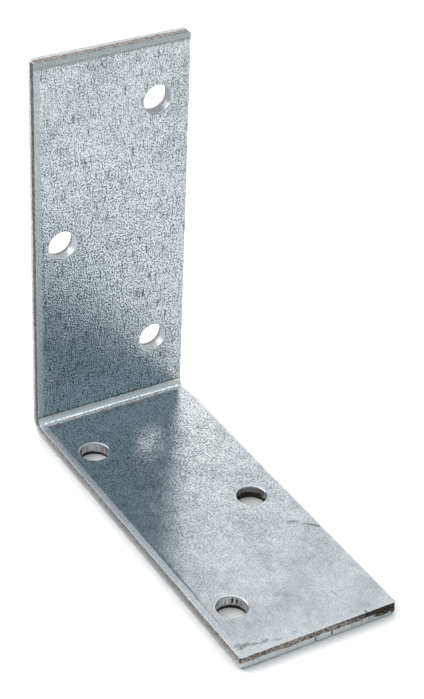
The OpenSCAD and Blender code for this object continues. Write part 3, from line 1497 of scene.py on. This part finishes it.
    def torn_colour(self) -> bpy.types.NodeSocket:
        """The torn zone's colour.

        Returns:
            Clean pale metal, then darker metal with dark specks, then soot with rust, as the soot rises.
        """
        g, look, soot = self.g, self.look, self.soot
        dirty = g.mix(g.ramp(self.ragged, *look.ragged_span), look.torn_dark, look.torn_light)
        clean = g.mix(g.ramp(self.ragged, *look.clean_span), look.torn_light, look.torn_pale)
        colour = g.mix(g.ramp(soot, *look.clean_soot), clean, dirty)
        specks = g.times(g.ramp(g.noise(self.solid, *look.soot_specks), *look.speck_span),
                         g.ramp(soot, *look.speck_soot), look.speck_cover)
        colour = g.mix(specks, colour, look.soot)
        rust = g.ramp(g.noise(self.solid, *look.rust_specks), *look.rust_span)
        cover = g.times(g.ramp(soot, *look.sooty_span), g.ramp(self.ragged, *look.peak_span))
        return g.mix(cover, colour, g.mix(rust, look.soot, look.rust))

    def cut_over(self, colour: Any) -> bpy.types.NodeSocket:
        """Lays the rolled rims, the burnished and torn zones and the tan line between them over a colour.

        Args:
            colour: The colour under them.

        Returns:
            The covered colour.
        """
        g, look = self.g, self.look
        brushed = g.times(g.eased(self.flat, look.brush), g.ramp(self.soot, *look.brush_soot))
        smooth = g.mix(brushed, look.burnished, look.burnished_deep)
        between = g.times(self.torn, self.burnished, look.limit_peak,
                          g.rest(g.times(self.soot, look.limit_soot)), look.limit_cover)
        layers = ((self.rim, look.rim), (self.burnished, smooth), (self.torn, self.torn_colour()),
                  (between, look.tan))
        for cover, layer in layers:
            colour = g.mix(cover, colour, layer)
        return colour

    def stained_and_shaded(self, colour: Any) -> bpy.types.NodeSocket:
        """Lays each stain and painted shade on the holes' walls and the cut edge over a colour: an oval,
        slightly broken up.

        Args:
            colour: The colour under them.

        Returns:
            The covered colour.
        """
        g, look = self.g, self.look
        breakup = g.eased(self.flat, look.stain_breaks)
        for stain in (*look.wall_stains_and_shade, *look.edge_stains_and_shade):
            shape = g.oval(self.flat, stain.place(self.strip), (stain.wide, stain.tall), core=stain.core)
            colour = g.mix(g.times(shape, breakup, self.cut, stain.strength), colour, stain.colour)
        return colour

    def roughness(self) -> bpy.types.NodeSocket:
        """The roughness.

        Returns:
            The faces', rougher in the grain's pits, with each zone's own laid over it.
        """
        g, look = self.g, self.look
        pits = g.times(g.rest(self.fine), g.blend(self.upright, look.base_pit_rough, look.pit_rough))
        rough = g.total(look.face_rough, pits)
        zones = ((self.band, look.margin_rough), (self.pressed, look.pressed_rough),
                 (self.burnished, look.cut_rough), (self.torn, look.torn_rough))
        for cover, zone_rough in zones:
            rough = g.blend(cover, rough, zone_rough)
        return rough

    def relief(self) -> bpy.types.NodeSocket:
        """The fine relief.

        Returns:
            The normal from a height: the grain's on the faces, less on the bend, and the torn zone's.
        """
        g, look = self.g, self.look
        past = g.ramp(self.along, *shifted(look.bent_stop, self.strip.fold_length))
        bent = g.times(g.ramp(self.along, *look.bent_start), g.rest(past), look.bent_calm)
        amount = g.times(self.strength, self.plain, g.rest(bent),
                         g.blend(self.upright, look.base_relief, 1.0))
        grain = g.total(g.times(self.grain, look.grain_relief), self.fleck,
                        g.times(self.streak, look.streak_relief))
        height = g.total(g.times(grain, amount), g.times(self.ragged, self.torn, look.torn_relief))
        inputs = {"Strength": look.bump_strength, "Distance": look.bump_height, "Height": height}
        return g.add("Bump", inputs).outputs[0]


# ---------------------------------------------------------------- the bracket and its studio


@dataclass
class Bracket:
    """The bracket as one closed mesh with its finish."""

    strip: Strip = field(default_factory=Strip)
    finish: GalvanisedFinish = field(default_factory=GalvanisedFinish)
    name: str = "brace_sheet"
    node: str = "bracket"
    slot: str = "galvanised_sheet"

    def build(self) -> bpy.types.Object:
        """Builds, folds and dresses the piece, and ties it to the frame.

        Returns:
            The finished object.
        """
        parts = self.strip.build()
        points = self.strip.fold(np.concatenate(parts.points))
        quads = np.concatenate(parts.quads)
        mesh = bpy.data.meshes.new(self.name)
        mesh.from_pydata(points, [], quads.tolist())
        uvs = mesh.uv_layers.new(name=UV_NAME)
        uvs.data.foreach_set("uv", np.concatenate(parts.quad_uvs).astype(np.float32).ravel())
        for cut, values in parts.cuts.items():
            layer = mesh.attributes.new(cut.value, "FLOAT", "POINT")
            layer.data.foreach_set("value", np.concatenate(values).astype(np.float32))
        mesh.polygons.foreach_set("use_smooth", np.ones(len(quads), bool))
        mesh.materials.append(self.finish.material(self.strip))
        mesh.update()
        piece = bpy.data.objects.new(self.name, mesh)
        bpy.context.scene.collection.objects.link(piece)
        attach(piece, "root")
        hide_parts(self.node)
        LOG.info("%s: %d points, %d quads", piece.name, len(points), len(quads))
        return piece


@dataclass
class Studio:
    """A pale floor, a soft bright surround with a dim room in front, and the camera."""

    floor_half: float = 1.6
    floor_drop: float = 0.00002
    floor_cells: int = 4
    floor_colour: Colour = (0.82, 0.82, 0.82, 1.0)
    camera_lift: float = 0.42
    mirror_lift: float = 0.06
    painted_shadow_reach: float = 0.006
    painted_shadow_span: Range = (0.5, 1.0)
    surround_colour: Colour = (1.0, 1.0, 1.0, 1.0)
    dim_colour: Colour = (0.275, 0.365, 0.39, 1.0)
    dim_way: tuple[float, float, float] = (0.25, -0.85, 0.42)
    dim_from: float = 0.3
    dim_full: float = 0.75
    overhead_colour: Colour = (1.5, 1.5, 1.5, 1.0)
    overhead_from: float = 0.75
    overhead_full: float = 0.95
    lamp_power: float = 0.5
    lamp_size: float = 0.2
    lamp_place: tuple[float, float, float] = (-0.2, 0.18, 0.2)
    camera_place: tuple[float, float, float] = (-124.76, -204.49, 184.95)
    camera_aim: tuple[float, float, float] = (7.841, 12.333, 20.0)
    camera_lens: float = 104.7
    camera_roll: float = 2.357
    sensor_width: float = 36.0
    clip_start: float = 0.01

    def build(self) -> None:
        """Builds the floor, the surround, the lamp and the camera."""
        self.floor()
        self.surround()
        self.lamp()
        self.camera()

    def floor(self) -> None:
        """A flat square grid under the part, lifted to white where seen or mirrored, the camera's lift fading
        near the part as a painted contact shadow.
        """
        line = np.linspace(-self.floor_half, self.floor_half, self.floor_cells + 1)
        x, y = np.meshgrid(line, line, indexing="ij")
        points = np.stack([x, y, np.full_like(x, -self.floor_drop)], -1).reshape(-1, 3)
        n = np.arange(x.size).reshape(x.shape)
        quads = np.stack([n[:-1, :-1], n[1:, :-1], n[1:, 1:], n[:-1, 1:]], -1).reshape(-1, 4)
        mesh = bpy.data.meshes.new("floor")
        mesh.from_pydata(points, [], quads.tolist())
        material = bpy.data.materials.new("floor")
        material.use_nodes = True
        g = Graph(material.node_tree)
        path = g.add("LightPath").outputs
        # painted contact shadow: the camera's lift fades where ambient occlusion finds the part close by
        clear = g.add("AmbientOcclusion", {"Distance": self.painted_shadow_reach}).outputs["AO"]
        seen = g.times(path["Is Camera Ray"], g.ramp(clear, *self.painted_shadow_span), self.camera_lift)
        strength = g.total(seen, g.times(path["Is Glossy Ray"], self.mirror_lift))
        plain = g.add("BsdfDiffuse", {"Color": self.floor_colour})
        lift = g.add("Emission", {"Color": self.surround_colour, "Strength": strength})
        both = g.add("AddShader", {0: plain.outputs[0], 1: lift.outputs[0]})
        g.add("OutputMaterial", {0: both.outputs[0]})
        mesh.materials.append(material)
        floor = bpy.data.objects.new("floor", mesh)
        bpy.context.scene.collection.objects.link(floor)
        LOG.info("floor: %.1f m square", 2 * self.floor_half)

    def surround(self) -> None:
        """The world: bright all round, brighter overhead, dim high in front, and white where it is seen."""
        world = bpy.data.worlds.new("surround")
        world.use_nodes = True
        g = Graph(world.node_tree)
        way = g.add("TexCoord").outputs["Generated"]
        front = tuple(Vector(self.dim_way).normalized())
        towards = g.add("VectorMath", {0: way, 1: front}, operation="DOT_PRODUCT").outputs["Value"]
        height = g.add("SeparateXYZ", {0: way}).outputs[2]
        colour = g.mix(g.ramp(towards, self.dim_from, self.dim_full), self.surround_colour, self.dim_colour)
        colour = g.mix(g.ramp(height, self.overhead_from, self.overhead_full), colour, self.overhead_colour)
        seen = g.add("LightPath").outputs["Is Camera Ray"]
        back = g.add("Background", {"Color": g.mix(seen, colour, self.surround_colour), "Strength": 1.0})
        g.add("OutputWorld", {0: back.outputs[0]})
        bpy.context.scene.world = world

    def lamp(self) -> None:
        """One soft lamp, low behind the left of the part."""
        data = bpy.data.lights.new("lamp", "AREA")
        data.energy, data.size = self.lamp_power, self.lamp_size
        lamp = bpy.data.objects.new("lamp", data)
        place = Vector(self.lamp_place)
        lamp.matrix_world = Matrix.Translation(place) @ (-place).to_track_quat("-Z", "Y").to_matrix().to_4x4()
        bpy.context.scene.collection.objects.link(lamp)

    def camera(self) -> None:
        """The camera, aimed and then rolled about its own axis."""
        data = bpy.data.cameras.new("camera")
        data.lens, data.sensor_width = self.camera_lens, self.sensor_width
        data.clip_start = self.clip_start
        camera = bpy.data.objects.new("camera", data)
        place, aim = Vector(self.camera_place) * MM, Vector(self.camera_aim) * MM
        turn = (aim - place).to_track_quat("-Z", "Y").to_matrix().to_4x4()
        roll = Matrix.Rotation(math.radians(self.camera_roll), 4, "Z")
        camera.matrix_world = Matrix.Translation(place) @ turn @ roll
        bpy.context.scene.collection.objects.link(camera)
        bpy.context.scene.camera = camera


def main() -> None:
    """Builds the bracket and its studio."""
    logging.basicConfig(level=logging.INFO, format="%(name)s %(message)s")
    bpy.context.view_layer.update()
    bpy.context.scene.view_settings.view_transform = "Standard"
    Bracket().build()
    Studio().build()


if __name__ == "__main__":
    main()
